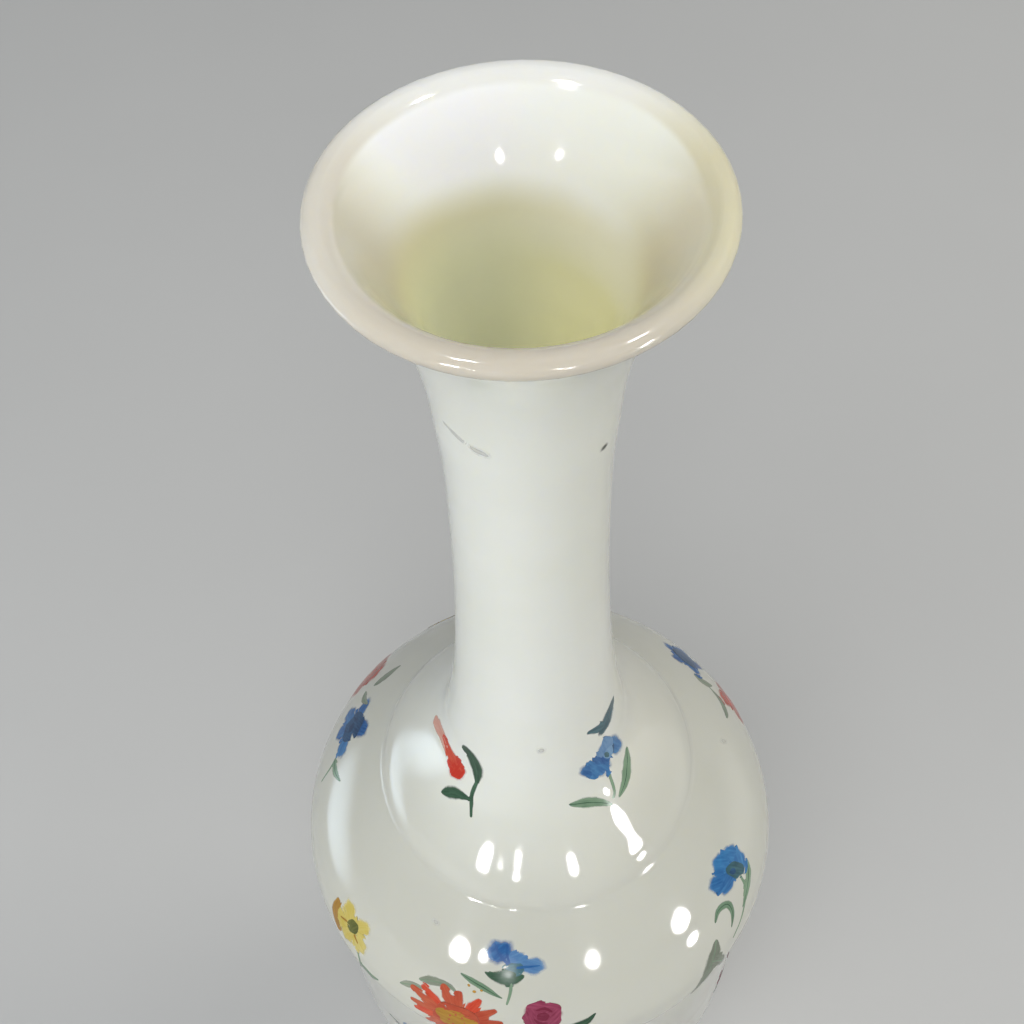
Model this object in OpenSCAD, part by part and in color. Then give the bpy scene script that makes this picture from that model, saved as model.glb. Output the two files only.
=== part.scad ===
// Bottle vase of white opal glass, blown as one piece and turned about +Z.
// It stands on z = 0: ring foot, barrel body, crease, round shoulder, domed collar,
// long waisted neck and a trumpet mouth with a rounded lip. All sizes are in millimetres.

/* [Heights] */
// Height from the table to the crease below the shoulder
body_h = 137.5; // [132:0.5:144]
// Height of the shoulder, from the crease to the edge of the collar
shoulder_h = 34.4; // [32:0.1:37]
// Height of the collar, from its edge to the foot of the neck
collar_h = 10.6; // [9.5:0.1:12]
// Height of the neck and mouth, from the foot of the neck to the top of the lip
neck_h = 127.5; // [122:0.5:135]

/* [Widths] */
// Diameter over the lip
mouth_d = 45; // [43:0.5:48]
// Width of the flat band of the lip, from its outer edge to where the funnel begins
band_w = 3.2; // [2.8:0.1:3.7]
// Diameter inside the foot of the funnel, where the bore of the neck begins
bore_d = 24.8; // [24:0.2:25.4]
// Diameter of the neck where the trumpet mouth begins
throat_d = 23.7; // [23:0.1:25]
// Diameter at the narrowest place of the neck
waist_d = 22; // [20.5:0.1:22.8]
// Diameter of the neck where it begins to spread toward the collar
spread_d = 29.4; // [28.4:0.2:30.4]
// Diameter at the foot of the neck, where it has spread into the slope of the collar
neck_foot_d = 42.1; // [41:0.1:43.4]
// Diameter at the edge of the collar
collar_d = 57.2; // [55:0.2:60]
// Diameter at the widest place of the shoulder
shoulder_d = 92.5; // [90:0.5:96]
// Diameter in the crease
crease_d = 85; // [83:0.5:87]
// Diameter of the barrel body
body_d = 90; // [88:0.5:92]
// Diameter of the ring foot
foot_d = 62; // [58:0.5:66]

/* [Glass] */
// Thickness of the wall
wall = 2.6; // [2.2:0.1:3]
// Thickness of the rounded lip
lip_t = 3; // [2.8:0.1:3.4]
// Height of the ring foot
foot_h = 4.5; // [4:0.1:5.5]
// Width of the ring that the vase stands on
foot_ring_w = 5; // [4:0.1:6]
// Depth of the hollow under the base
base_hollow = 2.4; // [1.6:0.1:3]
// Thickness of the glass at the middle of the base
base_t = 5.5; // [5:0.1:7]

/* [Hidden] */
$fn = 96;

vase_h = body_h + shoulder_h + collar_h + neck_h;
lip_r = lip_t / 2;

// Drop below the lip's top to where the trumpet ends, and to where the neck is narrowest
flare_drop = 29.5;
waist_drop = 48.5;
// Drop below the lip's top to the inner edge of its band, and to the foot of the funnel
band_drop = 1;
bore_drop = 13.3;
// The neck begins to spread this far above its foot
spread_rise = 16;
// The shoulder is widest this far above the crease, and the barrel this far below it
shoulder_rise = 7;
barrel_drop = 51;
// The groove round the collar, out from the collar's edge and down from it
groove_out = 2.2;
groove_down = 2.7;
// Rounding of the edges of the ring foot
foot_edge = 1;

// Directions of the outline on its way down, in degrees outward from straight down
lip_lean = -60;
band_lean = -75;
band_turn = -42;
bore_lean = -24;
throat_lean = -3.5;
spread_lean = 9.5;
neck_foot_lean = 35;
collar_lean = 20;
groove_lean = 44;
under_lean = -22;
crease_lean = 28;
foot_lean = -18;

// How far each curve of the outline holds its direction, as [at its upper end, at its lower end]
flare_pull = [3, 16];
band_pull = [0.5, 0.3];
funnel_pull = [3, 4];
bore_pull = [4, 5];
throat_pull = [8, 8];
neck_pull = [15.9, 19.4];
spread_pull = [8.3, 8.2];
collar_pull = [5.6, 3.6];
edge_pull = [1.3, 1.3];
shoulder_pull = [5, 10.5];
under_pull = [3.5, 1.1];
barrel_pull = [1.7, 30];
foot_pull = [43, 9.5];
floor_pull = 11;

// Points along each curve of the outline
long_steps = 16;
short_steps = 8;
lip_steps = 11;

function dir(angle) = [cos(angle), sin(angle)];
function unit(v) = v / norm(v);

// The way down that leans outward by an angle
function down(lean) = [sin(lean), -cos(lean)];

// A point of the cubic curve from a to d that is drawn toward b and c
function curve_at(a, b, c, d, t) =
    pow(1 - t, 3) * a + 3 * pow(1 - t, 2) * t * b + 3 * (1 - t) * t * t * c + pow(t, 3) * d;

// The curve from a to d, without its first point. It leaves a along a_dir and reaches d along
// d_dir, and pull tells how far it holds each of the two.
function curve(a, a_dir, d, d_dir, pull, steps) =
    [for (i = [1:steps])
        curve_at(a, a + pull[0] * a_dir, d - pull[1] * d_dir, d, i / steps)];

// The points of an arc about a centre, both ends included
function arc(centre, r, from, to, steps) =
    [for (i = [0:steps]) centre + r * dir(from + (to - from) * i / steps)];

// A point of the outline moved into the glass by the thickness of the wall
function inward(pts, i) =
    let (run = unit(pts[min(i + 1, len(pts) - 1)] - pts[max(i - 1, 0)]))
    pts[i] + wall * [run.y, -run.x];

function reversed(pts) = [for (i = [len(pts) - 1:-1:0]) pts[i]];
function after_first(pts) = [for (i = [1:len(pts) - 1]) pts[i]];

// The places that the outline passes, as radius and height
lip_centre = [mouth_d / 2 - lip_r, vase_h - lip_r];
lip_out = lip_centre + lip_r * dir(lip_lean);
lip_in = lip_centre - lip_r * dir(band_lean);
band = [mouth_d / 2 - band_w, vase_h - band_drop];
bore = [bore_d / 2, vase_h - bore_drop];
throat = [throat_d / 2, vase_h - flare_drop];
waist = [waist_d / 2, vase_h - waist_drop];
spread = [spread_d / 2, vase_h - neck_h + spread_rise];
neck_foot = [neck_foot_d / 2, vase_h - neck_h];
collar = [collar_d / 2, body_h + shoulder_h];
groove = collar + [groove_out, -groove_down];
shoulder = [shoulder_d / 2, body_h + shoulder_rise];
crease = [crease_d / 2, body_h];
barrel = [body_d / 2, body_h - barrel_drop];
foot = [foot_d / 2, foot_h];

// The lip, over its top from the inside to the outside
lip = arc(lip_centre, lip_r, 180 + band_lean, lip_lean, lip_steps);

// Outside of the vase, from the lip down to the ring foot
flare_out = curve(lip_out, down(lip_lean), throat, down(throat_lean), flare_pull, long_steps);
neck_out = concat(
    curve(throat, down(throat_lean), waist, down(0), throat_pull, short_steps),
    curve(waist, down(0), spread, down(spread_lean), neck_pull, long_steps),
    curve(spread, down(spread_lean), neck_foot, down(neck_foot_lean), spread_pull, short_steps));
collar_out = concat(
    curve(neck_foot, down(neck_foot_lean), collar, down(collar_lean), collar_pull, short_steps),
    curve(collar, down(collar_lean), groove, down(groove_lean), edge_pull, short_steps));
shoulder_out = concat(
    curve(groove, down(groove_lean), shoulder, down(0), shoulder_pull, long_steps),
    curve(shoulder, down(0), crease, down(under_lean), under_pull, short_steps));
body_out = concat(
    curve(crease, down(crease_lean), barrel, down(0), barrel_pull, long_steps),
    curve(barrel, down(0), foot, down(foot_lean), foot_pull, long_steps));
below_throat = concat([throat], neck_out, collar_out, shoulder_out, body_out);

// Inside of the vase, from the lip down to the middle of the floor
inner_throat = inward(below_throat, 0);
flare_in = concat(
    curve(lip_in, down(band_lean), band, down(band_turn), band_pull, short_steps),
    curve(band, down(band_turn), bore, down(bore_lean), funnel_pull, long_steps),
    curve(bore, down(bore_lean), inner_throat, down(throat_lean), bore_pull, short_steps));
// The wall is even down to this many points above the foot, and there turns into the floor
floor_turn = 4;
wall_in = [for (i = [1:len(below_throat) - 1 - floor_turn]) inward(below_throat, i)];
heel = wall_in[len(wall_in) - 1];
heel_run = unit(heel - wall_in[len(wall_in) - 2]);
floor_middle = [0, base_hollow + base_t];
floor_in = curve(heel, heel_run, floor_middle, [-1, 0], [floor_pull, foot_d / 4], long_steps);

// Underside, over the ring foot with its rounded edges and into the shallow hollow
foot_outer = foot_d / 2 - foot_edge;
foot_inner = foot_d / 2 - foot_ring_w + foot_edge;
hollow_edge = [foot_inner - foot_edge, foot_edge];
underside = concat(
    arc([foot_outer, foot_edge], foot_edge, 0, -90, 4),
    arc([foot_inner, foot_edge], foot_edge, -90, -180, 4),
    curve(hollow_edge, [0, 1], [0, base_hollow], [-1, 0], [base_hollow / 2, foot_d / 4],
        short_steps));

module vase() {
    color("ivory")
        rotate_extrude()
            polygon(concat(
                lip,
                flare_out,
                after_first(below_throat),
                underside,
                reversed(floor_in),
                reversed(wall_in),
                reversed(flare_in)));
}

vase();
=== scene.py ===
import math
import random

import bpy
import numpy as np
from mathutils import Matrix, Vector
from mathutils.bvhtree import BVHTree


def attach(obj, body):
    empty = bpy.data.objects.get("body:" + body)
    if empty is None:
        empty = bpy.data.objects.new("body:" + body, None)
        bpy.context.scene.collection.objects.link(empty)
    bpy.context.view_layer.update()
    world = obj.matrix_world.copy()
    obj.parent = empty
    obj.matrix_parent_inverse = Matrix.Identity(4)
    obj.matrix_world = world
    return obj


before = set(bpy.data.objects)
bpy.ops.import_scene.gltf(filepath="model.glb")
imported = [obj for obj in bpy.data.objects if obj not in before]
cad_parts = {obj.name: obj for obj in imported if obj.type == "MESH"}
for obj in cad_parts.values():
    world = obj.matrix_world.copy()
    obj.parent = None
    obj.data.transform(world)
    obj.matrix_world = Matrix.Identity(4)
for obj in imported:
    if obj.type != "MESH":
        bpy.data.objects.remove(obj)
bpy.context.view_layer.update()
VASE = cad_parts["vase"]
MM = 0.001

# The camera, fitted to the mouth's ellipse and the vase's outline. It stands back from the vase's
# axis and above the mouth by so many radii of the mouth.
IMAGE_PX = 1024
FOCAL_PX = 1342
MOUTH_R = 0.0225
MOUTH_Z = 0.3085
CAMERA_BACK = 4.535
CAMERA_UP = 4.277
PITCH = math.radians(56.1)
YAW = math.radians(-1.35)
ROLL = math.radians(2.88)


# The outside of the vase

# A radius that lies outside the vase at every height
CLEAR_OF_VASE = 0.2

TREE = BVHTree.FromPolygons(
    [v.co.copy() for v in VASE.data.vertices],
    [tuple(p.vertices) for p in VASE.data.polygons])


def outside(azimuth, z):
    """The outside's point at a height, at an angle that is 0 toward the camera and + to the right."""
    out = Vector((math.sin(azimuth), -math.cos(azimuth), 0))
    start = out * CLEAR_OF_VASE + Vector((0, 0, z))
    hit = TREE.ray_cast(start, -out)[0]
    return hit if hit is not None else start


# The outline is read between these heights, in steps, at an angle off the facets' edges
LOWEST = 0.006
HIGHEST = 0.298
STEP = 0.0004
READ_AT = 0.02

HEIGHTS = np.arange(LOWEST, HIGHEST, STEP)
RADII = np.array([math.hypot(*outside(READ_AT, z)[:2]) for z in HEIGHTS])
LENGTHS = np.concatenate([[0], np.cumsum(np.hypot(np.diff(HEIGHTS), np.diff(RADII)))])


class Place:
    """A spot on the outside, with u to the right and v up along the surface, both in mm."""

    def __init__(self, azimuth, z_mm, turn=0.0, grow=1.0, mirror=False):
        self.azimuth = math.radians(azimuth)
        self.length = np.interp(z_mm * MM, HEIGHTS, LENGTHS)
        self.cos = math.cos(math.radians(turn)) * grow
        self.sin = math.sin(math.radians(turn)) * grow
        self.side = -1 if mirror else 1

    def point(self, u, v, lift):
        """The point of the surface at (u, v), raised by lift, and the way the surface faces there."""
        u *= self.side
        u, v = self.cos * u - self.sin * v, self.sin * u + self.cos * v
        length = self.length + v * MM
        z = float(np.interp(length, LENGTHS, HEIGHTS))
        r = float(np.interp(z, HEIGHTS, RADII))
        azimuth = self.azimuth + u * MM / r
        above, below = np.interp([length + MM, length - MM], LENGTHS, RADII)
        slope = math.asin(max(-1.0, min(1.0, float(above - below) / (2 * MM))))
        normal = Vector((
            math.sin(azimuth) * math.cos(slope),
            -math.cos(azimuth) * math.cos(slope),
            -math.sin(slope)))
        return outside(azimuth, z) + normal * lift * MM, normal


# Brushwork, as thin meshes

# How deep a film of paint reaches into the glass, in mm
SUNK = 0.12
# How far the films lie above the glass, clear of its flat facets, and each next one above the last
LIFT = 0.05
LAYER = 0.01
# How much the middle of a film swells
BELLY = 0.03
# The paint fades out before the rim of its film, so a film is drawn this much wider
GROW = 1.12
# Over this part of a stroke, from its middle, later paint stays whole to its edge
COVERED = 0.93
# A dab's rings, and the points of each
RINGS = 7
RING_POINTS = 32
# A stroke's points across and along it, and the way between two along it, in mm
ACROSS = 7
FEWEST_ROWS = 9
MOST_ROWS = 26
ROW_STEP = 0.45


class Sprig:
    """Brush strokes of one flower: each is a closed film of enamel that follows the glaze."""

    def __init__(self, name, place):
        self.name = name
        self.place = place
        self.rng = random.Random(name)
        self.layer = 1
        self.paints = []
        self.shapes = []
        self.verts = []
        self.normals = []
        self.edge = []
        self.brush = []
        self.faces = []
        self.slots = []

    def slot(self, paint):
        """The number of a paint among this flower's materials."""
        if paint not in self.paints:
            self.paints.append(paint)
        return self.paints.index(paint)

    def film(self, points, rows, cols, closed, paint, tone):
        """One closed film over rows and columns of points, each (u, v, e, along, across).
        e is 0 in the middle of the stroke and 1 at its edge. A closed film's columns run round it."""
        slot = self.slot(paint)
        first = len(self.verts)
        base = LIFT + LAYER * self.layer
        self.layer += 1
        flat = np.array(points, float).reshape(-1, 5)
        bare = 1 - self.painted(flat[:, :2])
        for under in (False, True):
            for (u, v, e, along, across), fade in zip(flat, bare):
                lift = -SUNK if under else base + BELLY * (1 - e * e)
                spot, normal = self.place.point(u, v, lift)
                self.verts.append(spot)
                self.normals.append(normal)
                self.edge.append((e * fade, tone))
                self.brush.append((along, across))
        count = rows * cols

        def at(i, j, under=0):
            return first + under * count + i * cols + (j % cols if closed else j)

        spans = cols if closed else cols - 1
        for i in range(rows - 1):
            for j in range(spans):
                self.faces.append((at(i, j), at(i, j + 1), at(i + 1, j + 1), at(i + 1, j)))
                self.faces.append(
                    (at(i, j, 1), at(i + 1, j, 1), at(i + 1, j + 1, 1), at(i, j + 1, 1)))
                self.slots += [slot, slot]
        if closed:
            ring = [(rows - 1, j) for j in range(cols)]
        else:
            ring = [(0, j) for j in range(cols)]
            ring += [(i, cols - 1) for i in range(1, rows)]
            ring += [(rows - 1, j) for j in range(cols - 2, -1, -1)]
            ring += [(i, 0) for i in range(rows - 2, 0, -1)]
        for a, b in zip(ring, ring[1:] + ring[:1]):
            self.faces.append((at(*b), at(*a), at(*a, 1), at(*b, 1)))
            self.slots.append(slot)
        self.shapes.append(flat[[i * cols + j for i, j in ring], :2])
        return first, count

    def painted(self, spots):
        """1 where a spot lies well inside a stroke that is already there, 0 on bare glaze."""
        found = np.zeros(len(spots))
        x, y = np.hsplit(spots, 2)
        for shape in self.shapes:
            middle = shape.mean(axis=0)
            shape = middle + (shape - middle) * COVERED
            ax, ay = shape.T
            bx, by = np.roll(shape, -1, axis=0).T
            steep = np.where(np.abs(by - ay) < 1e-9, 1e-9, by - ay)
            crossed = ((ay > y) != (by > y)) & (x < ax + (bx - ax) * (y - ay) / steep)
            found = np.maximum(found, crossed.sum(axis=1) % 2)
        return found

    def blob(self, paint, u, v, ru, rv, turn=0, tone=0.5, wobble=0.06, lobes=0, depth=0.0):
        """A dab of paint: an ellipse with an uneven edge, or with lobes round it."""
        a = self.rng.uniform(0, 6.28)
        b = self.rng.uniform(0, 6.28)
        c = math.cos(math.radians(turn))
        s = math.sin(math.radians(turn))
        rows = []
        for i in range(RINGS):
            e = (i + 0.25) / (RINGS - 0.75)
            row = []
            for j in range(RING_POINTS):
                t = 2 * math.pi * j / RING_POINTS
                reach = 1 + wobble * (math.sin(2 * t + a) + 0.7 * math.sin(5 * t + b))
                reach += depth * math.cos(lobes * t) if lobes else 0
                x = GROW * ru * e * reach * math.cos(t)
                y = GROW * rv * e * reach * math.sin(t)
                row.append((u + x * c - y * s, v + x * s + y * c, e, x, y))
            rows.append(row)
        first, count = self.film(rows, RINGS, RING_POINTS, True, paint, tone)
        slot = self.slot(paint)
        self.faces.append(tuple(first + j for j in reversed(range(RING_POINTS))))
        self.faces.append(tuple(first + count + j for j in range(RING_POINTS)))
        self.slots += [slot, slot]

    def stroke(self, paint, line, widths, tone=0.5, wobble=0.05):
        """A pull of the brush along a line of (u, v), with its widths along the way."""
        pts = np.array(smooth_line(line, 12))
        run = np.concatenate([[0], np.cumsum(np.hypot(*np.diff(pts, axis=0).T))])
        long = run[-1]
        rows = max(FEWEST_ROWS, min(MOST_ROWS, int(long / ROW_STEP)))
        shift = self.rng.uniform(0, 6.28)
        grid = []
        for i in range(rows):
            t = 0.5 - 0.5 * math.cos(math.pi * i / (rows - 1))
            at = t * long
            ahead = min(at + 0.02 * long, long)
            behind = max(at - 0.02 * long, 0)
            x, ahead_x, behind_x = np.interp([at, ahead, behind], run, pts[:, 0])
            y, ahead_y, behind_y = np.interp([at, ahead, behind], run, pts[:, 1])
            dx = ahead_x - behind_x
            dy = ahead_y - behind_y
            norm = math.hypot(dx, dy)
            full = GROW * np.interp(t, np.linspace(0, 1, len(widths)), widths) / 2
            to_end = min(at, long - at) / max(full, 0.05)
            half = full * math.sqrt(max(0.0, 1 - (1 - min(to_end, 1)) ** 2))
            half = max(half * (1 + wobble * math.sin(7 * t + shift)), 0.02)
            row = []
            for j in range(ACROSS):
                a = 2 * j / (ACROSS - 1) - 1
                e = max(abs(a), 1 - min(to_end, 1))
                row.append((x - a * half * dy / norm, y + a * half * dx / norm, e, at, a * half))
            grid.append(row)
        self.film(grid, rows, ACROSS, False, paint, tone)

    def build(self):
        """The flower's mesh on the vase, with its faces turned outward, mirrored or not."""
        faces = self.faces if self.place.side < 0 else [face[::-1] for face in self.faces]
        mesh = bpy.data.meshes.new(self.name)
        mesh.from_pydata([tuple(v) for v in self.verts], [], faces)
        for paint in self.paints:
            mesh.materials.append(PAINTS[paint])
        mesh.polygons.foreach_set("material_index", self.slots)
        mesh.polygons.foreach_set("use_smooth", [True] * len(self.faces))
        loops = np.zeros(len(mesh.loops), np.int32)
        mesh.loops.foreach_get("vertex_index", loops)
        for name, data in (("edge", self.edge), ("brush", self.brush)):
            layer = mesh.uv_layers.new(name=name)
            layer.data.foreach_set("uv", np.array(data, np.float32)[loops].ravel())
        # The film shades as the glaze under it, so that its thin rim doesn't show
        mesh.normals_split_custom_set([tuple(self.normals[k]) for k in loops])
        obj = bpy.data.objects.new(self.name, mesh)
        bpy.context.scene.collection.objects.link(obj)
        # Nor does it keep light from the glaze that shows through its soft edge
        obj.visible_shadow = obj.visible_diffuse = obj.visible_glossy = False
        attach(obj, "root")


def smooth_line(line, steps):
    """Points along a smooth line through the given ones, with steps from each to the next."""
    pts = [Vector(p) for p in line]
    pts = [2 * pts[0] - pts[1]] + pts + [2 * pts[-1] - pts[-2]]
    out = []
    for k in range(1, len(pts) - 2):
        a, b, c, d = pts[k - 1:k + 3]
        for i in range(steps):
            t = i / steps
            out.append(0.5 * (2 * b + (c - a) * t + (2 * a - 5 * b + 4 * c - d) * t * t
                              + (3 * b - a - 3 * c + d) * t * t * t))
    return [tuple(p) for p in out] + [tuple(pts[-2])]


# Materials

class Nodes:
    """A short way to write a material's nodes."""

    def __init__(self, name):
        self.mat = bpy.data.materials.new(name)
        self.mat.use_nodes = True
        self.tree = self.mat.node_tree
        self.shader = self.tree.nodes["Principled BSDF"]

    def put(self, socket, value):
        if isinstance(value, bpy.types.NodeSocket):
            self.tree.links.new(value, socket)
        elif isinstance(value, (tuple, list)) and len(value) == 3 and socket.type == "RGBA":
            socket.default_value = (*value, 1)
        else:
            socket.default_value = value

    def add(self, kind, inputs=(), **settings):
        node = self.tree.nodes.new(kind)
        for key, value in settings.items():
            setattr(node, key, value)
        for key, value in dict(inputs).items():
            self.put(node.inputs[key], value)
        return node

    def math(self, operation, a, b=0.0, clamp=False):
        node = self.add("ShaderNodeMath", {0: a, 1: b}, operation=operation, use_clamp=clamp)
        return node.outputs[0]

    def vector(self, operation, a, b):
        return self.add("ShaderNodeVectorMath", {0: a, 1: b}, operation=operation).outputs[0]

    def parts(self, vector):
        return self.add("ShaderNodeSeparateXYZ", {0: vector}).outputs

    def ramp(self, value, low, high, to_low=0.0, to_high=1.0):
        node = self.add(
            "ShaderNodeMapRange",
            {"Value": value, "From Min": low, "From Max": high, "To Min": to_low, "To Max": to_high},
            interpolation_type="SMOOTHSTEP", clamp=True)
        return node.outputs["Result"]

    def mix(self, factor, a, b):
        node = self.add("ShaderNodeMix", data_type="RGBA")
        self.put(node.inputs["Factor"], factor)
        self.put(node.inputs[6], a)
        self.put(node.inputs[7], b)
        return node.outputs[2]

    def noise(self, vector, scale, detail=2.0):
        node = self.add("ShaderNodeTexNoise", {
            "Vector": vector, "Scale": scale, "Detail": detail, "Roughness": 0.5})
        return node.outputs["Fac"]


def spot_on_vase(n):
    """Sockets for the point of the vase, and for its x, its y and its height."""
    place = n.add("ShaderNodeNewGeometry").outputs["Position"]
    parts = n.parts(place)
    return place, parts["X"], parts["Y"], parts["Z"]


def from_axis(n, x, y):
    """The distance from the vase's axis."""
    flat = n.add("ShaderNodeCombineXYZ", {"X": x, "Y": y}).outputs[0]
    return n.add("ShaderNodeVectorMath", {0: flat}, operation="LENGTH").outputs["Value"]


def wander(n, value, place, scale, amount):
    """A value that a soft noise pushes up and down, for edges that aren't ruled."""
    noise = n.math("SUBTRACT", n.noise(place, scale), 0.5)
    return n.math("ADD", value, n.math("MULTIPLY", noise, amount))


def lip_colour_with_painted_light(n, x, y):
    """Rosy beige, with painted light: warmer on the right as painted warm light, painted shade at the
    front and painted light, paler, at the back.
    """
    side = n.mix(n.ramp(x, -0.015, 0.015), (0.715, 0.682, 0.610), (0.700, 0.660, 0.490))
    # Painted shade at the front of the lip, painted light at its back
    colour = n.mix(n.ramp(y, -0.006, -0.020), side, (0.615, 0.570, 0.490))
    return n.mix(n.ramp(y, 0.004, 0.019), colour, (0.840, 0.840, 0.805))


def glaze_colour_with_painted_shade(n):
    """The outside: cool white with a cloudy tone, painted shade, darker and warmer, toward the right
    side, painted shade, greyer, from the foot of the neck down over the shoulder and body, and rosy
    beige at the lip.
    """
    place, x, y, z = spot_on_vase(n)
    cloud = n.ramp(n.noise(place, 34, 3), 0.35, 0.65)
    colour = n.mix(cloud, (0.815, 0.830, 0.780), (0.785, 0.800, 0.735))
    # Painted shade: the right side darker and warmer
    side = n.ramp(wander(n, x, place, 18, 0.02), -0.004, 0.030)
    colour = n.mix(side, colour, (0.705, 0.695, 0.610))
    # Painted shade: greyer from the foot of the neck down
    colour = n.mix(n.ramp(wander(n, z, place, 20, 0.02), 0.200, 0.165), colour, (0.600, 0.600, 0.535))
    lip = n.ramp(wander(n, z, place, 120, 0.0006), 0.3058, 0.3076)
    return n.mix(lip, colour, lip_colour_with_painted_light(n, x, y)), place


def inner_colour_with_painted_light(n):
    """The inside: painted light, white, on the back wall and painted shade, beige, at the sides, rosy
    beige at the lip; down the throat the glass's yellow-green tint with painted light that comes
    through the wall, lighter deepest, and painted shade at the throat's upper edge; all of it shifts
    from left to right with the painted light.
    """
    place, x, y, z = spot_on_vase(n)
    # Painted light and shade: white where light falls on the back wall, beige in shade at the sides,
    # changing from left to right
    to_right = n.ramp(wander(n, x, place, 40, 0.006), -0.012, 0.014)
    white = n.mix(to_right, (0.960, 0.970, 0.945), (0.850, 0.860, 0.805))
    beige = n.mix(to_right, (0.620, 0.588, 0.475), (0.695, 0.650, 0.495))
    colour = n.mix(n.ramp(wander(n, y, place, 30, 0.004), -0.002, 0.013), beige, white)
    lip = n.ramp(wander(n, from_axis(n, x, y), place, 120, 0.0004), 0.0188, 0.0194)
    colour = n.mix(lip, colour, lip_colour_with_painted_light(n, x, y))
    # Down the throat the glass's yellow-green tint, with painted shade at the top of the throat and
    # painted light through the wall below
    edge = wander(n, n.math("ADD", z, n.math("MULTIPLY", x, 0.12)), place, 45, 0.004)
    to_right = n.ramp(x, -0.006, 0.007)
    high = n.mix(to_right, (0.675, 0.642, 0.455), (0.720, 0.685, 0.510))
    middle = n.mix(to_right, (0.830, 0.780, 0.345), (0.645, 0.595, 0.250))
    deep = n.mix(to_right, (1.000, 0.950, 0.345), (0.800, 0.742, 0.255))
    colour = n.mix(n.ramp(edge, 0.3010, 0.2960), colour, high)
    colour = n.mix(n.ramp(edge, 0.2975, 0.2895), colour, middle)
    # Painted light: lighter and yellower deepest in the throat
    return n.mix(n.ramp(z, 0.291, 0.278), colour, deep), place


def glazed(name, colouring, glow=False):
    """Glossy opal glass. With glow, light spreads further down in the throat, where it also comes
    through the thin wall of the neck."""
    n = Nodes(name)
    colour, place = colouring(n)
    n.put(n.shader.inputs["Base Color"], colour)
    n.put(n.shader.inputs["Roughness"], n.ramp(n.noise(place, 60, 4), 0.3, 0.7, 0.05, 0.10))
    waves = n.add("ShaderNodeBump", {
        "Strength": 0.12, "Distance": 0.0003, "Height": n.noise(place, 70, 1)})
    fine = n.add("ShaderNodeBump", {
        "Strength": 0.05, "Distance": 0.00005, "Height": n.noise(place, 900, 2),
        "Normal": waves.outputs[0]})
    n.put(n.shader.inputs["Normal"], fine.outputs[0])
    n.shader.inputs["IOR"].default_value = 1.5
    n.shader.inputs["Subsurface Weight"].default_value = 1.0
    n.shader.inputs["Subsurface Radius"].default_value = (1.0, 0.95, 0.80)
    n.shader.inputs["Subsurface Scale"].default_value = 0.003
    if glow:
        height = n.parts(place)["Z"]
        n.put(n.shader.inputs["Subsurface Scale"], n.ramp(height, 0.3010, 0.2900, 0.003, 0.03))
    return n.mat


# How far out a stroke's paint has faded away, where 0 is its middle and 1 the rim of its film
GONE = 0.86


def enamel(name, dense, thin, cover=1.0, soft=0.50):
    """Overglaze paint, dense where the brush pressed and thin where it lifted, that ends softly.
    cover tells how much of the glaze it hides, and soft how far out it begins to fade."""
    n = Nodes(name)
    # The glaze's colour shows under thin paint, its painted shade included
    under, place = glaze_colour_with_painted_shade(n)
    edge = n.parts(n.add("ShaderNodeUVMap", uv_map="edge").outputs[0])
    e = edge["X"]
    tone = edge["Y"]
    brush = n.add("ShaderNodeUVMap", uv_map="brush").outputs[0]
    hairs = n.vector("MULTIPLY", brush, (0.35, 2.6, 1.0))
    hairs = n.vector("ADD", hairs, n.vector("MULTIPLY", place, (90.0, 90.0, 90.0)))
    streak = n.noise(hairs, 1.0, 2)
    pool = n.noise(place, 420, 2)
    density = n.math("ADD", tone, n.math("MULTIPLY", n.math("SUBTRACT", streak, 0.5), 1.1))
    density = n.math("ADD", density, n.math("MULTIPLY", n.math("SUBTRACT", pool, 0.5), 0.7), clamp=True)
    colour = n.mix(density, thin, dense)
    ragged = wander(n, e, place, 700, 0.30)
    n.put(n.shader.inputs["Alpha"], n.ramp(ragged, GONE, soft))
    n.put(n.shader.inputs["Base Color"], n.mix(cover, under, colour))
    n.put(n.shader.inputs["Roughness"], n.ramp(pool, 0.3, 0.7, 0.12, 0.22))
    n.shader.inputs["IOR"].default_value = 1.5
    n.shader.inputs["Specular IOR Level"].default_value = 0.3
    return n.mat


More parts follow.
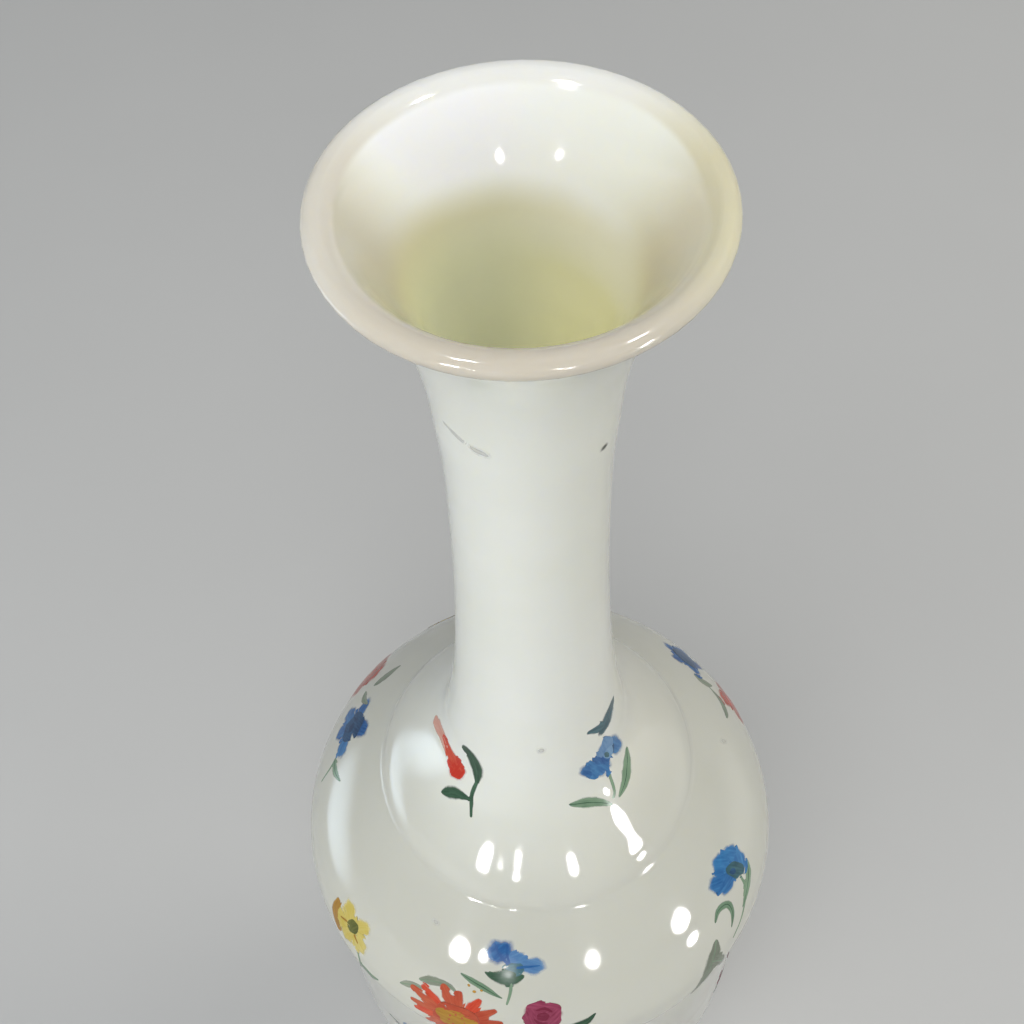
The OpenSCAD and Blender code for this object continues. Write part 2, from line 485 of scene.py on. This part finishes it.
PAINTS = {
    "blue": enamel("enamel_blue", (0.004, 0.070, 0.25), (0.055, 0.230, 0.47)),
    "pale_blue": enamel("enamel_pale_blue", (0.035, 0.150, 0.36), (0.15, 0.32, 0.52), 0.95),
    "navy": enamel("enamel_navy", (0.004, 0.035, 0.10), (0.03, 0.12, 0.26)),
    "teal": enamel("enamel_teal", (0.012, 0.055, 0.075), (0.06, 0.16, 0.19)),
    "green": enamel("enamel_green", (0.014, 0.050, 0.026), (0.06, 0.14, 0.08)),
    "leaf": enamel("enamel_leaf", (0.06, 0.15, 0.075), (0.19, 0.32, 0.19), 0.92),
    "grey_green": enamel("enamel_grey_green", (0.09, 0.12, 0.075), (0.25, 0.29, 0.21), 0.88),
    "red": enamel("enamel_red", (0.50, 0.020, 0.003), (0.64, 0.110, 0.045)),
    "pale_red": enamel("enamel_pale_red", (0.52, 0.12, 0.065), (0.62, 0.32, 0.24), 0.9),
    "brick": enamel("enamel_brick", (0.36, 0.030, 0.010), (0.52, 0.11, 0.045)),
    "crimson": enamel("enamel_crimson", (0.16, 0.010, 0.036), (0.40, 0.075, 0.15)),
    "yellow": enamel("enamel_yellow", (0.52, 0.39, 0.02), (0.62, 0.53, 0.17), 0.95),
    "ochre": enamel("enamel_ochre", (0.28, 0.125, 0.006), (0.46, 0.25, 0.025)),
    "olive": enamel("enamel_olive", (0.06, 0.075, 0.01), (0.20, 0.20, 0.04)),
    "dust": enamel("dust_grey", (0.26, 0.255, 0.24), (0.36, 0.35, 0.33), 0.6, -0.2),
    "speck": enamel("dark_speck", (0.07, 0.07, 0.05), (0.16, 0.16, 0.12), 1.0, 0.2),
}


# Slopes that differ by less than this, in radians, count as one
ONE_SLOPE = 0.004
# Faces whose slopes differ by more than this meet at a real edge
REAL_EDGE = 0.45


def smooth_normals(obj):
    """Turned-glass shading: at each height the faces above and below share one slope, unless they
    meet at a real edge."""
    mesh = obj.data
    co = [v.co for v in mesh.vertices]
    key = [(round(math.hypot(p.x, p.y), 5), round(p.z, 5)) for p in co]
    # The slopes of the faces that meet at each radius and height
    rings = {}
    leans = []
    for p in mesh.polygons:
        c = p.center
        r = math.hypot(c.x, c.y) or 1.0
        lean = math.atan2(p.normal.z, (p.normal.x * c.x + p.normal.y * c.y) / r)
        leans.append(lean)
        if p.area < 1e-10:
            continue
        for v in p.vertices:
            found = rings.setdefault(key[v], [])
            if all(abs(lean - f) > ONE_SLOPE for f in found):
                found.append(lean)
    normals = []
    for p, lean in zip(mesh.polygons, leans):
        for v in p.vertices:
            x, y = co[v].x, co[v].y
            r = math.hypot(x, y)
            near = [f for f in rings.get(key[v], []) if abs(f - lean) < REAL_EDGE] or [lean]
            mean = sum(near) / len(near)
            if r < 1e-5:
                normals.append((0, 0, math.copysign(1, math.sin(mean))))
            else:
                normals.append((math.cos(mean) * x / r, math.cos(mean) * y / r, math.sin(mean)))
    mesh.polygons.foreach_set("use_smooth", [True] * len(mesh.polygons))
    mesh.normals_split_custom_set(normals)


# The painted flowers, drawn in mm about the middle of each

def leaf(s, paint, line, width, tone=0.5):
    """A leaf that swells along its line, with a rib of another green."""
    s.stroke(paint, line, [0.25 * width, 0.95 * width, width, 0.7 * width, 0.15 * width], tone)
    s.stroke("leaf" if paint == "grey_green" else "green", line, [0.22, 0.3, 0.12], 0.55)


def around(u, v, reach, angle):
    """The point at a reach from (u, v), at an angle in degrees."""
    return (u + reach * math.cos(math.radians(angle)), v + reach * math.sin(math.radians(angle)))


def dabs(s, paint, ru, rv, wobble, places):
    """Dabs of one paint and one size, each placed as (u, v, turn, tone)."""
    for u, v, turn, tone in places:
        s.blob(paint, u, v, ru, rv, turn, tone, wobble)


def round_petals(s, paint, u, v, size, turn, core, tone):
    """A small round flower: petals that overlap about a dabbed core."""
    angles = [turn + 360 * k / 5 for k in range(5)]
    for angle in angles:
        x, y = around(u, v, 0.56 * size, angle)
        s.blob(paint, x, y, 0.50 * size, 0.40 * size, angle, tone + s.rng.uniform(-0.2, 0.2), 0.08)
    for angle in angles:
        vein = [around(u, v, 0.2 * size, angle), around(u, v, 0.72 * size, angle + 6)]
        s.stroke(paint, vein, [0.35, 0.2], 1.0)
    s.blob(core, u, v, 0.2 * size, 0.18 * size, turn, 0.6)


def daisy(s, u, v, ru, rv, count, turn=0):
    """An open flower with many narrow petals, painted from the tip inward."""
    wide = 2.415 * (ru + rv) / count
    for k in range(count):
        angle = math.radians(turn + 360 * (k + s.rng.uniform(-0.15, 0.15)) / count)
        c = math.cos(angle)
        w = math.sin(angle)
        far = s.rng.uniform(0.9, 1.06)
        line = [(u + ru * reach * c, v + rv * reach * w) for reach in (far, (far + 0.3) / 2, 0.3)]
        widths = [0.45 * wide, wide, 0.55 * wide]
        s.stroke("brick" if k % 3 else "red", line, widths, s.rng.uniform(0.25, 0.75))
    s.blob("brick", u, v, 0.44 * ru, 0.44 * rv, 0, 0.6, 0.08)
    s.blob("ochre", u, v, 0.34 * ru, 0.34 * rv, 0, 0.45, 0.08)
    for k in range(7):
        x, y = around(u, v, 0.2 * min(ru, rv), 50 * k)
        s.blob("brick", x, y, 0.22, 0.22, 0, 0.5)


def rose(s, u, v, size):
    """A small crimson bloom: outer petals, inner petals and two folds."""
    outer = ((20, 0.42, 0.25), (140, 0.45, 0.35), (255, 0.42, 0.3))
    inner = ((80, 0.32, 0.6), (200, 0.3, 0.65), (320, 0.3, 0.6))
    for angle, reach, tone in outer + inner:
        x, y = around(u, v, reach * size, angle)
        s.blob("crimson", x, y, 0.58 * size, 0.48 * size, angle + 90, tone, 0.1)
    for reach, angles in ((0.45, (30, 80, 130)), (0.4, (200, 250, 300))):
        fold = [around(u, v, reach * size, angle) for angle in angles]
        s.stroke("crimson", fold, [0.3, 0.7, 0.3], 1.0)
    s.blob("crimson", u, v, 0.24 * size, 0.2 * size, 0, 1.0)


def red_bud(s):
    bud = [(-11.8, -2.2), (-8.4, -0.2), (-5.6, 0.8), (-2.6, 0.7)]
    s.stroke("pale_red", bud, [1.5, 2.8, 3.2, 3.0], 0.4)
    s.stroke("red", [(-6.4, 1.0), (-3.2, 1.1), (-0.6, 0.6), (1.6, -1.2)], [1.0, 2.8, 4.6, 4.0], 0.7)
    s.blob("red", 0.2, 0.0, 3.0, 2.2, 75, 1.0)
    s.stroke("green", [(4.6, 2.0), (4.8, -1.6), (5.6, -3.6), (7.0, -6.4)], [0.8, 1.0, 1.0, 0.5], 0.45)
    leaf(s, "green", [(-0.2, 6.4), (1.2, 7.2), (2.8, 6.4), (4.0, 4.2), (4.7, 1.0)], 4.0, 0.8)
    leaf(s, "green", [(-0.2, -6.8), (1.7, -4.6), (3.4, -3.6), (5.4, -3.0)], 3.0, 0.65)


def blue_sprig(s):
    stem = [(-2.5, -10.1), (-1.4, -8.9), (-0.8, -5.5), (-0.6, -2.0)]
    s.stroke("leaf", stem, [0.8, 0.8, 0.7, 0.6], 0.5)
    leaf(s, "leaf", [(5.2, -5.0), (3.6, -7.2), (1.4, -9.3), (-1.4, -10.8)], 3.2, 0.4)
    leaf(s, "leaf", [(-9.6, -6.2), (-6.8, -7.3), (-4.8, -8.8), (-3.0, -11.0)], 2.7, 0.6)
    s.blob("blue", 2.1, 0.2, 4.9, 2.1, 115, 0.5)
    s.blob("blue", -4.1, -0.3, 3.3, 1.7, 123, 0.75)
    s.blob("blue", -1.9, -1.4, 3.9, 2.4, 110, 0.45)
    s.blob("blue", -1.0, 0.4, 2.8, 2.0, 110, 0.8)
    s.blob("navy", 0.6, 1.0, 2.4, 1.1, 112, 0.5)
    s.blob("pale_blue", 0.0, 2.2, 2.8, 1.9, 100, 0.6)
    s.blob("pale_blue", 0.5, 0.2, 1.8, 1.0, 105, 0.2)
    s.blob("teal", 0.1, 0.0, 1.1, 0.5, 105, 0.3)
    s.stroke("teal", [(4.6, 12.2), (3.2, 10.8), (1.6, 9.2), (-0.8, 6.8)], [0.6, 4.0, 5.2, 2.0], 0.7)
    s.stroke("teal", [(-3.2, 11.2), (-1.0, 9.8), (1.0, 8.4)], [0.9, 2.4, 1.2], 0.5)


def front_blue(s):
    s.stroke("leaf", [(0.4, -2.6), (0.3, -6.2), (-0.2, -9.0)], [0.8, 0.7, 0.5], 0.4)
    leaf(s, "green", [(2.6, -2.2), (0.4, -3.4), (-2.0, -3.6), (-4.6, -2.8)], 2.8, 0.6)
    leaf(s, "leaf", [(-9.0, -4.6), (-7.0, -5.3), (-4.8, -6.0), (-1.0, -7.6)], 1.9, 0.7)
    s.blob("blue", -2.1, 1.8, 3.2, 2.9, 51, 0.8, 0.07, 4, 0.05)
    s.blob("pale_blue", 3.6, -0.2, 3.1, 2.2, 165, 0.85, 0.07, 3, 0.06)
    s.blob("pale_blue", 1.0, 1.1, 1.9, 1.4, 30, 0.9)
    s.blob("teal", 0.5, -1.2, 1.8, 1.4, 20, 0.25)
    s.stroke("blue", [(-0.4, -0.4), (-2.0, 1.2), (-3.2, 3.4)], [0.5, 0.5, 0.2], 1.0)
    s.stroke("blue", [(-0.2, -0.2), (-0.8, 1.6), (-0.9, 3.8)], [0.4, 0.4, 0.2], 1.0)
    s.stroke("blue", [(1.0, -0.8), (3.0, -0.4), (5.2, -0.1)], [0.5, 0.4, 0.2], 0.8)
    s.blob("green", -1.4, -2.6, 2.2, 1.1, 10, 0.7)


def front_daisy(s):
    leaf(s, "grey_green", [(-9.4, 3.6), (-6.4, 5.0), (-3.4, 5.6), (-1.6, 4.6)], 2.4, 0.6)
    leaf(s, "grey_green", [(-13.2, -0.4), (-10.4, 1.4), (-7.6, 2.4)], 1.9, 0.4)
    daisy(s, -1.0, -2.0, 10.2, 7.6, 16)
    s.blob("ochre", 1.4, 6.6, 0.45, 0.4, 0, 0.3)
    s.blob("ochre", 0.2, 7.6, 0.35, 0.35, 0, 0.3)
    s.blob("ochre", 2.6, 7.3, 0.35, 0.3, 0, 0.3)


def front_rose(s):
    leaf(s, "green", [(1.8, -4.6), (4.6, -4.4), (7.8, -3.2), (9.6, -1.4)], 2.9, 0.8)
    leaf(s, "leaf", [(-0.6, -5.4), (0.6, -9.0), (3.2, -11.6)], 3.0, 0.5)
    rose(s, 0.0, -0.6, 4.4)
    leaf(s, "green", [(-1.8, -4.6), (-4.0, -6.4), (-5.4, -9.2)], 2.4, 0.6)


def yellow_flower(s):
    s.stroke("leaf", [(2.0, -2.0), (4.0, -6.6), (4.4, -11.0)], [0.7, 0.7, 0.5], 0.5)
    leaf(s, "leaf", [(4.2, -7.4), (7.0, -8.0), (9.4, -6.6)], 2.6, 0.5)
    dabs(s, "yellow", 2.6, 2.3, 0.09, (
        (1.8, 2.2, 55, 0.5),
        (3.0, -1.8, -32, 0.35),
        (-0.6, -3.4, -102, 0.6),
        (-3.6, -1.8, 206, 0.7),
        (-2.2, 2.0, 132, 0.6)))
    s.stroke("ochre", [(-5.6, 1.2), (-5.6, -3.0), (-2.6, -6.2)], [1.4, 2.8, 1.6], 0.6)
    s.stroke("ochre", [(-1.6, -0.6), (-3.6, -1.8)], [0.5, 0.3], 0.6)
    s.stroke("ochre", [(1.0, -1.2), (2.6, -2.2)], [0.5, 0.3], 0.6)
    s.blob("olive", 0.0, 0.0, 1.7, 1.2, 70, 0.7)


def left_blue(s):
    s.stroke("leaf", [(3.4, -1.4), (7.6, -4.6), (10.2, -8.8)], [0.7, 0.7, 0.5], 0.5)
    dabs(s, "blue", 3.0, 2.3, 0.08, (
        (-3.9, 0.9, 165, 0.7),
        (1.1, 3.9, 72, 0.85),
        (4.2, -1.5, -18, 0.5),
        (0.3, -4.1, -88, 0.7),
        (-3.3, -3.6, 225, 0.6)))
    s.blob("navy", 0.0, 0.0, 3.4, 2.8, 60, 0.7)
    s.blob("navy", 0.2, -0.2, 1.4, 1.2, 0, 1.0)
    leaf(s, "leaf", [(6.4, -3.6), (9.2, -2.6), (11.6, -0.2)], 2.2, 0.4)


def left_red(s):
    leaf(s, "grey_green", [(5.2, 5.4), (2.6, 7.8), (-0.6, 10.0)], 2.9, 0.6)
    leaf(s, "grey_green", [(6.6, 3.4), (8.6, 5.2), (9.6, 8.0)], 2.2, 0.5)
    dabs(s, "brick", 3.4, 3.2, 0.09, (
        (1.4, 0.6, 80, 1.1),
        (5.2, -3.2, 0, 0.9),
        (-2.2, -3.6, 180, 0.8),
        (1.0, -7.2, -90, 0.9)))
    s.blob("red", 1.3, -3.2, 1.8, 1.7, 0, 0.9)
    s.blob("ochre", 1.3, -3.2, 0.9, 0.8, 0, 0.3)


def right_blue(s):
    s.stroke("leaf", [(1.0, -2.6), (0.2, -6.0), (-3.4, -9.4), (-8.0, -11.6)], [0.8, 0.8, 0.7, 0.5], 0.4)
    leaf(s, "leaf", [(4.6, -2.6), (3.0, -5.0), (0.6, -6.6), (-2.8, -8.2)], 2.7, 0.3)
    leaf(s, "leaf", [(-9.4, -3.2), (-7.2, -1.9), (-5.1, -3.0), (-5.2, -5.6), (-7.2, -8.4)], 2.0, 0.75)
    s.blob("blue", -0.2, 1.2, 3.2, 2.6, 125, 0.25, 0.08)
    dabs(s, "blue", 2.7, 2.0, 0.08, (
        (2.5, 2.4, 118, 0.45),
        (3.2, -1.2, 60, 0.4),
        (-0.4, 4.1, 125, 0.4),
        (-3.9, 2.2, 140, 0.55),
        (-2.4, -0.4, 170, 0.6)))
    s.blob("teal", 0.9, -0.8, 2.5, 1.5, 117, 0.6)
    s.blob("navy", 0.4, -0.2, 1.1, 0.7, 117, 0.7)


def right_top_blue(s):
    leaf(s, "grey_green", [(-4.4, 2.6), (-6.6, 0.8), (-7.6, -2.4)], 2.7, 0.5)
    round_petals(s, "blue", 0.2, -0.6, 5.4, 20, "navy", 0.9)
    s.blob("navy", 0.2, -0.6, 2.6, 2.4, 0, 0.7)


def right_red(s):
    leaf(s, "grey_green", [(-5.0, 5.8), (-2.5, 4.5), (0.2, 4.4), (2.6, 5.6)], 2.4, 0.7)
    dabs(s, "brick", 2.8, 2.4, 0.09, (
        (0.4, 0.8, 90, 0.9),
        (3.4, -2.4, -20, 0.7),
        (-2.6, -2.6, 200, 0.8),
        (0.4, -4.8, -90, 0.9)))
    s.blob("red", 0.4, -2.0, 1.5, 1.3, 0, 0.9)


# Dark grey-green leaf strokes laid along the crease, which also paint the crease's shade
def crease_leaf(s):
    leaf(s, "grey_green", [(3.4, 4.8), (1.6, 1.4), (-1.2, -2.2), (-5.2, -4.8)], 4.8, 0.9)
    leaf(s, "grey_green", [(0.8, 0.6), (3.0, -2.2), (3.6, -5.6)], 3.4, 0.8)


def small_sprig(s):
    """A small blue flower, for the sides that aren't seen."""
    s.stroke("leaf", [(0.2, -1.0), (-0.6, -5.0), (0.4, -9.0), (2.4, -12.0)], [0.7, 0.8, 0.7, 0.4], 0.5)
    leaf(s, "green", [(-0.4, -5.4), (-3.4, -4.6), (-5.8, -6.2)], 2.4, 0.6)
    leaf(s, "leaf", [(0.4, -8.0), (3.2, -6.8), (5.8, -7.8)], 2.5, 0.5)
    round_petals(s, "blue", 0.0, 1.2, 4.2, 15, "yellow", 0.6)
    s.blob("blue", 5.0, -2.4, 1.3, 1.0, 30, 0.6)
    s.stroke("leaf", [(4.4, -3.0), (1.8, -6.6)], [0.4, 0.5], 0.5)


def bell_sprig(s):
    s.stroke("leaf", [(-0.4, 7.0), (0.6, 2.0), (-0.2, -4.0), (-2.4, -9.0)], [0.5, 0.7, 0.8, 0.4], 0.5)
    leaf(s, "green", [(-0.4, -4.4), (2.8, -5.4), (4.8, -8.6)], 2.6, 0.6)
    leaf(s, "leaf", [(0.0, -1.6), (-3.4, -1.8), (-5.8, 0.6)], 2.4, 0.5)
    for x, y, a, size in ((-1.8, 7.2, 115, 1.0), (2.6, 4.8, 50, 1.15), (-2.8, 2.8, 150, 1.2)):
        s.blob("crimson", x, y, 1.9 * size, 1.4 * size, a, 0.5, 0.1)
        s.blob("crimson", x, y, 0.9 * size, 0.6 * size, a, 1.0)


def lower_daisy(s):
    s.stroke("green", [(1.0, -6.0), (2.6, -12.0), (1.4, -18.0)], [0.9, 0.9, 0.5], 0.5)
    leaf(s, "green", [(2.4, -11.0), (6.6, -11.0), (10.0, -14.2)], 3.6, 0.6)
    leaf(s, "leaf", [(2.0, -14.0), (-2.2, -13.4), (-5.4, -16.6)], 3.2, 0.5)
    daisy(s, 0, 0, 7.4, 7.2, 14, 8)


def neck_smudge(s):
    s.stroke("dust", [(-1.4, 1.0), (0.8, 0.2), (2.6, -0.6)], [1.0, 1.8, 1.2], 0.6)
    s.stroke("dust", [(2.4, -0.4), (4.2, -0.9), (6.0, -1.1)], [1.2, 2.6, 1.4], 0.8)
    s.blob("speck", 20.0, -5.0, 1.0, 0.8, 0, 0.8)


def collar_speck(s):
    s.blob("dust", 0.0, 0.0, 1.0, 1.3, 0, 0.8)


def shoulder_smudge(s):
    s.blob("dust", 0.0, 0.0, 1.1, 0.8, 0, 0.0)


def side_mark(s):
    s.blob("dust", 0.0, 0.0, 1.6, 1.0, 100, 0.0)


def paint_on(name, draw, *place):
    """Draw one flower or mark, and put it at its place on the vase."""
    sprig = Sprig(name, Place(*place))
    draw(sprig)
    sprig.build()


# Each flower's name, its drawing, the angle round the vase and the height in mm
FLOWERS = [
    ("red_bud", red_bud, -54.8, 189.0),
    ("blue_sprig", blue_sprig, 48.6, 194.2),
    ("front_blue", front_blue, -9.1, 163.5),
    ("front_daisy", front_daisy, -19.6, 152.2),
    ("front_rose", front_rose, -0.5, 155.2),
    ("yellow_flower", yellow_flower, -54.1, 153.4),
    ("left_blue", left_blue, -107.2, 161.8),
    ("left_red", left_red, -129.7, 157.0),
    ("right_blue", right_blue, 61.7, 158.8),
    ("right_top_blue", right_top_blue, 129.5, 159.7),
    ("right_red", right_red, 114.3, 155.0),
    # Leaf strokes along the crease, with painted shade of the crease
    ("crease_leaf", crease_leaf, 42.6, 149.0),
]

# Flowers of the same kinds on the sides that aren't seen. After the height come the turn in degrees,
# the size and whether it is mirrored.
SCATTERED = [
    ("back_bud", red_bud, 172, 186, 12, 0.85, True),
    ("back_blue", small_sprig, 168, 160, -15, 1.0, False),
    ("back_yellow", yellow_flower, -158, 152, 20, 0.9, True),
    ("body_daisy", lower_daisy, 22, 112, 10, 1.0, False),
    ("body_blue", small_sprig, -38, 108, -20, 1.1, False),
    ("body_bell", bell_sprig, 66, 92, 15, 1.1, False),
    ("body_yellow", yellow_flower, -4, 78, 30, 0.9, False),
    ("side_bell", bell_sprig, -84, 118, -25, 1.1, True),
    ("side_daisy", lower_daisy, -128, 100, -20, 1.0, True),
    ("side_blue", small_sprig, 112, 116, 20, 1.1, True),
    ("back_daisy", lower_daisy, 160, 104, 15, 1.0, False),
    ("back_low_blue", small_sprig, -165, 66, -30, 1.0, True),
    ("side_low_rose", bell_sprig, 128, 66, -10, 1.0, False),
    ("left_low_blue", small_sprig, -80, 68, 25, 1.0, False),
    ("front_low_bud", red_bud, 42, 50, 40, 0.8, False),
]

# Faint marks of wear and dust
MARKS = [
    ("neck_smudge", neck_smudge, -48.0, 282.0),
    ("collar_speck", collar_speck, 2.7, 204.6),
    ("shoulder_smudge", shoulder_smudge, -33.3, 165.4),
    ("side_mark", side_mark, 98.2, 163.4),
]

for row in FLOWERS:
    paint_on(*row)
for row in SCATTERED:
    paint_on(*row)
for row in MARKS:
    paint_on(*row)


# The studio

# The width of the camera's sensor, in mm, from which the lens's length follows
SENSOR_MM = 36


def camera():
    """The photograph's view."""
    cam = bpy.data.cameras.new("photo_camera")
    cam.sensor_width = SENSOR_MM
    cam.lens = FOCAL_PX / IMAGE_PX * SENSOR_MM
    cam.clip_start = 0.005
    cam.clip_end = 20
    obj = bpy.data.objects.new("photo_camera", cam)
    forward = Vector((
        math.sin(YAW) * math.cos(PITCH),
        math.cos(YAW) * math.cos(PITCH),
        -math.sin(PITCH),
    ))
    right = Vector((math.cos(YAW), -math.sin(YAW), 0))
    down = forward.cross(right)
    rolled_right = math.cos(ROLL) * right + math.sin(ROLL) * down
    rolled_down = -math.sin(ROLL) * right + math.cos(ROLL) * down
    turn = Matrix((rolled_right, -rolled_down, -forward)).transposed()
    obj.matrix_world = turn.to_4x4()
    obj.location = (0, -CAMERA_BACK * MOUTH_R, MOUTH_Z + CAMERA_UP * MOUTH_R)
    bpy.context.scene.collection.objects.link(obj)
    bpy.context.scene.camera = obj


def floor():
    """A plain pale floor."""
    size = 3.0
    mesh = bpy.data.meshes.new("floor")
    mesh.from_pydata(
        [(-size, -size, 0), (size, -size, 0), (size, size, 0), (-size, size, 0)],
        [], [(0, 1, 2, 3)])
    obj = bpy.data.objects.new("floor", mesh)
    bpy.context.scene.collection.objects.link(obj)
    n = Nodes("floor_paper")
    place = n.add("ShaderNodeNewGeometry").outputs["Position"]
    paper = n.mix(n.noise(place, 9, 4), (0.53, 0.53, 0.523), (0.56, 0.56, 0.553))
    n.put(n.shader.inputs["Base Color"], paper)
    n.put(n.shader.inputs["Roughness"], 0.85)
    mesh.materials.append(n.mat)


def lamp(name, azimuth, rise, away, size, power, aim_z, colour=(1, 1, 1), spot=False):
    """A lamp that is aimed at a height on the axis, from an angle round the vase and a rise above it.
    A wide lamp only lights, and a spot only shows as a bright reflection in the glaze."""
    data = bpy.data.lights.new(name, "AREA")
    data.shape = "DISK"
    data.size = size
    data.energy = power
    data.color = colour
    obj = bpy.data.objects.new(name, data)
    a = math.radians(azimuth)
    e = math.radians(rise)
    aim = Vector((0, 0, aim_z))
    out = Vector((math.sin(a) * math.cos(e), -math.cos(a) * math.cos(e), math.sin(e)))
    obj.location = aim + away * out
    obj.rotation_euler = (aim - obj.location).to_track_quat("-Z", "Y").to_euler()
    obj.visible_camera = False
    obj.visible_glossy = spot
    obj.visible_diffuse = not spot
    bpy.context.scene.collection.objects.link(obj)


def window(name, azimuth, away, z, wide, high, strength, colour):
    """A card that fades toward its edges and only shows as a soft reflection in the glaze."""
    a = math.radians(azimuth)
    out = Vector((math.sin(a), -math.cos(a), 0))
    across = Vector((math.cos(a), math.sin(a), 0)) * wide / 2
    up = Vector((0, 0, high / 2))
    middle = out * away + Vector((0, 0, z))
    mesh = bpy.data.meshes.new(name)
    mesh.from_pydata(
        [middle - across - up, middle - across + up, middle + across + up, middle + across - up],
        [], [(0, 1, 2, 3)])
    n = Nodes(name)
    place = n.add("ShaderNodeNewGeometry").outputs["Position"]
    off = n.vector("SUBTRACT", place, middle)
    sides = n.add(
        "ShaderNodeVectorMath", {0: off, 1: across.normalized()}, operation="DOT_PRODUCT")
    sides = sides.outputs["Value"]
    height = n.parts(off)["Z"]
    sides = n.math("POWER", n.math("DIVIDE", sides, wide / 2), 2.0)
    height = n.math("POWER", n.math("DIVIDE", height, high / 2), 2.0)
    n.put(n.shader.inputs["Alpha"], n.ramp(n.math("ADD", sides, height), 1.0, 0.0))
    n.shader.inputs["Base Color"].default_value = (0, 0, 0, 1)
    n.shader.inputs["Specular IOR Level"].default_value = 0
    n.shader.inputs["Emission Color"].default_value = (*colour, 1)
    n.shader.inputs["Emission Strength"].default_value = strength
    mesh.materials.append(n.mat)
    obj = bpy.data.objects.new(name, mesh)
    bpy.context.scene.collection.objects.link(obj)
    obj.visible_camera = obj.visible_diffuse = obj.visible_shadow = False


# The heights on the axis that the lamps are aimed at
MIDDLE = 0.22
COLLAR = 0.18
MOUTH = 0.303

# Wide soft lamps, which give the light: name, angle, rise, distance, size, power, colour
WIDE = [
    ("key", -50, 11, 1.3, 0.7, 4.3, (0.97, 0.99, 1.0)),
    ("front", -8, 32, 1.5, 1.0, 3.0, (1, 1, 1)),
    ("low_front", 0, 12, 1.2, 0.4, 0.8, (1, 1, 1)),
    ("top", -8, 62, 1.5, 1.0, 10.4, (1, 1, 1)),
    ("left", -105, 12, 1.3, 0.7, 1.3, (0.72, 0.88, 1.0)),
    ("side", 105, 25, 1.4, 0.8, 7.3, (1.0, 0.98, 0.91)),
]

# Small lamps, for the bright spots in the glaze: name, angle, rise, distance, size, power, aim
SPOTS = [
    ("spot_left", -33, 6, 0.9, 0.12, 2.0, COLLAR),
    ("spot_middle", -23.5, 8, 0.9, 0.06, 0.35, COLLAR),
    ("spot_middle_low", -13.5, 5, 0.9, 0.06, 0.35, COLLAR),
    ("spot_right", 19, 7, 0.9, 0.08, 0.9, COLLAR),
    ("spot_side", 55.5, -2, 0.7, 0.10, 1.2, COLLAR),
    ("spot_side_low", 56, -13, 0.6, 0.05, 0.4, COLLAR),
    ("spot_wall_left", -30, 12, 0.25, 0.024, 0.09, MOUTH),
    ("spot_wall_right", 14, 13, 0.25, 0.024, 0.09, MOUTH),
    ("spot_rim_left", 62, 45, 1.0, 0.14, 4.0, MOUTH),
    ("spot_rim_right", -33, 46, 1.0, 0.18, 6.0, MOUTH),
]

camera()
floor()
for *row, colour in WIDE:
    lamp(*row, MIDDLE, colour)
for row in SPOTS:
    lamp(*row, spot=True)
window("window_left", -100, 0.35, 0.065, 0.30, 0.13, 3.6, (0.76, 0.89, 1.0))
window("window_right", 100, 0.35, 0.060, 0.30, 0.13, 0.9, (1.0, 0.99, 0.95))

world = bpy.data.worlds.new("studio")
world.use_nodes = True
sky = world.node_tree.nodes["Background"]
sky.inputs["Color"].default_value = (0.88, 0.9, 0.92, 1)
sky.inputs["Strength"].default_value = 0.3
bpy.context.scene.world = world
bpy.context.scene.view_settings.view_transform = "Standard"

smooth_normals(VASE)
VASE.data.materials[0] = glazed("opal_glaze", glaze_colour_with_painted_shade)
VASE.data.materials.append(glazed("opal_glaze_inside", inner_colour_with_painted_light, glow=True))

# The faces that look toward the axis are the inside, above this height
INSIDE_FROM = 0.012
for face in VASE.data.polygons:
    middle = face.center
    if face.normal.x * middle.x + face.normal.y * middle.y < 0 and middle.z > INSIDE_FROM:
        face.material_index = 1
